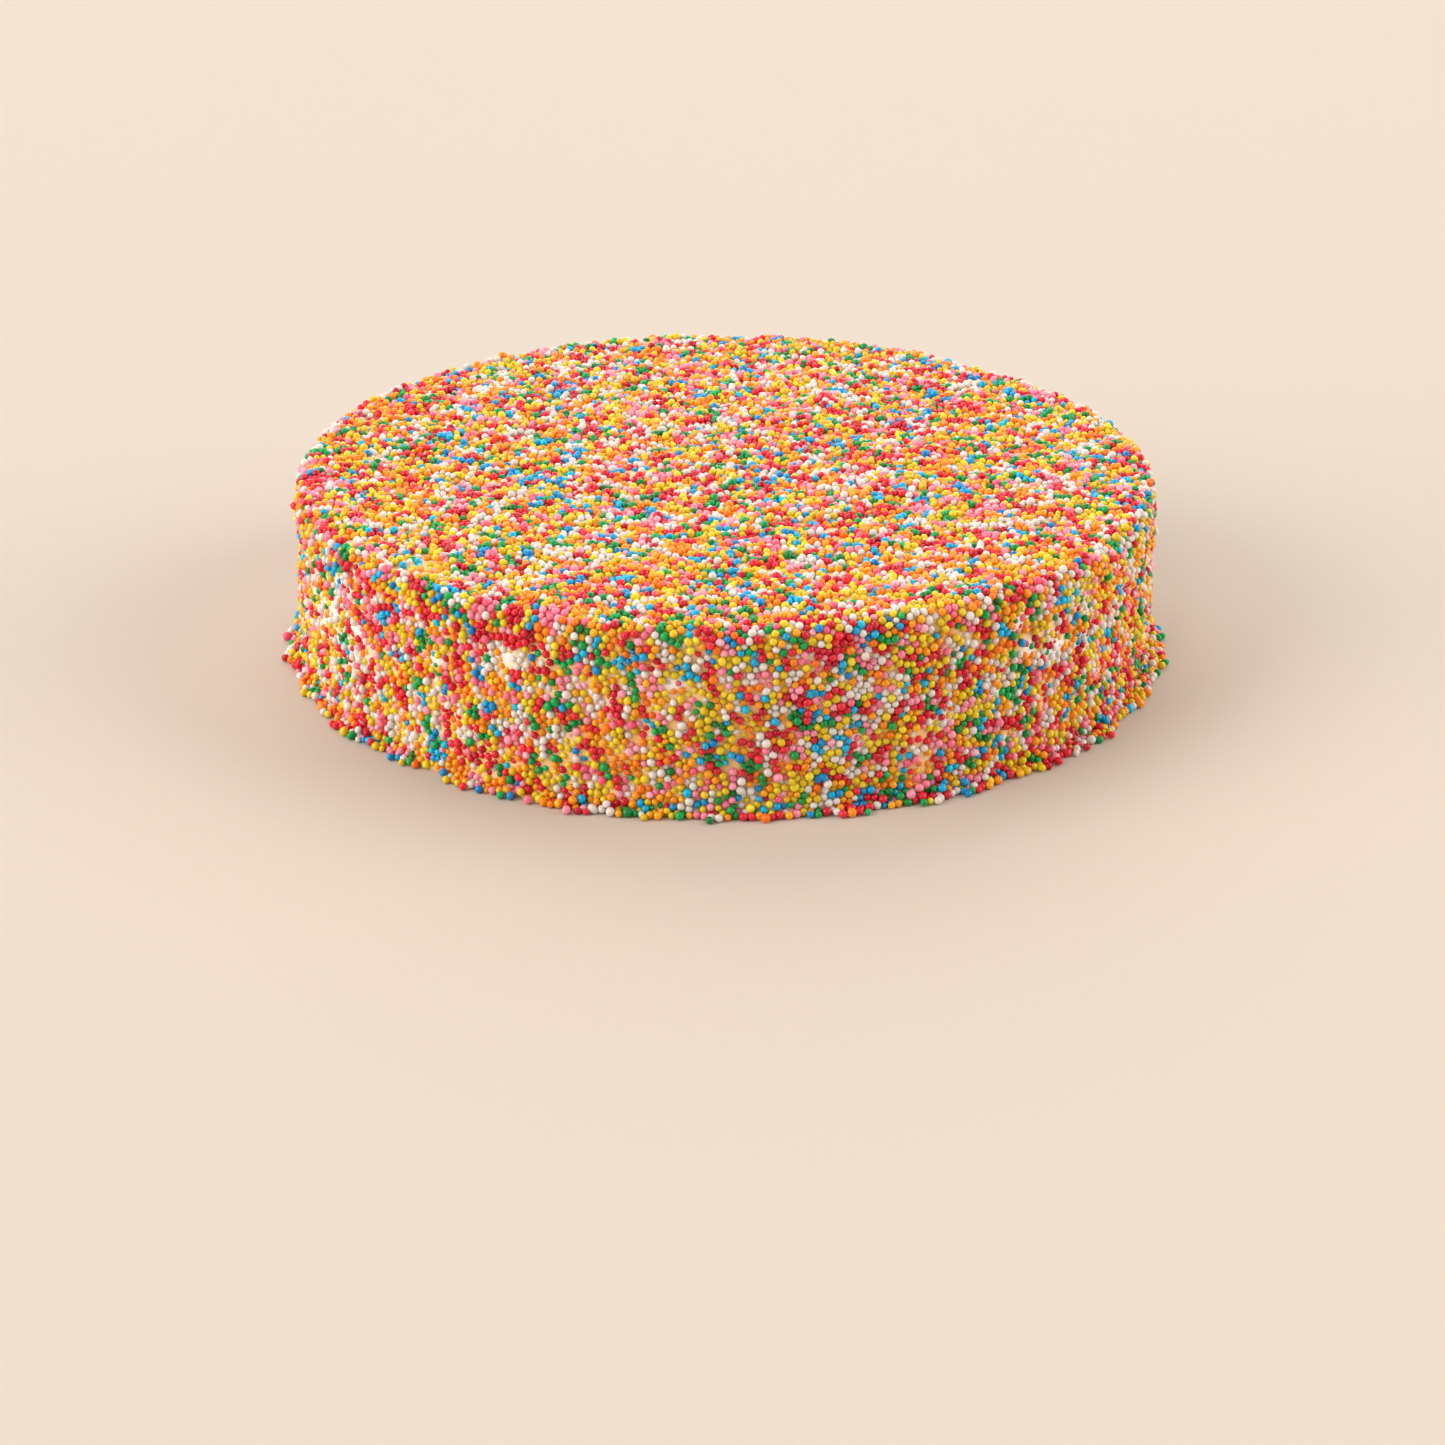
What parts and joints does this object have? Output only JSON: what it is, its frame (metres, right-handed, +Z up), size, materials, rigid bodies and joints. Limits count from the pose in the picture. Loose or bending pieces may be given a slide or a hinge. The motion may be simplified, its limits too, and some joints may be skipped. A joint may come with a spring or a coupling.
{
  "type": "sprinkle cake",
  "caption": "Low round uncut cake, iced all over and coated on top and sides with small round sugar beads in mixed colours, some gathered round the foot.",
  "frame": {"origin": "centre of the flat underside", "axes": "+Z up through the middle of the cake; the cake is round, so +X and +Y are any two level directions at a right angle, with the pictured side towards -Y"},
  "size_m": [0.2062, 0.2032, 0.0439],
  "materials": {
    "icing": "soft off-white icing, slightly moist",
    "bead_white": "hard sugar shell, satin gloss",
    "bead_pink": "hard sugar shell, satin gloss",
    "bead_red": "hard sugar shell, satin gloss",
    "bead_amber": "hard sugar shell, satin gloss",
    "bead_yellow": "hard sugar shell, satin gloss",
    "bead_green": "hard sugar shell, satin gloss",
    "bead_blue": "hard sugar shell, satin gloss"
  },
  "bodies": {
    "root": {"sprinkle_cake": "icing"}
  },
  "joints": []
}
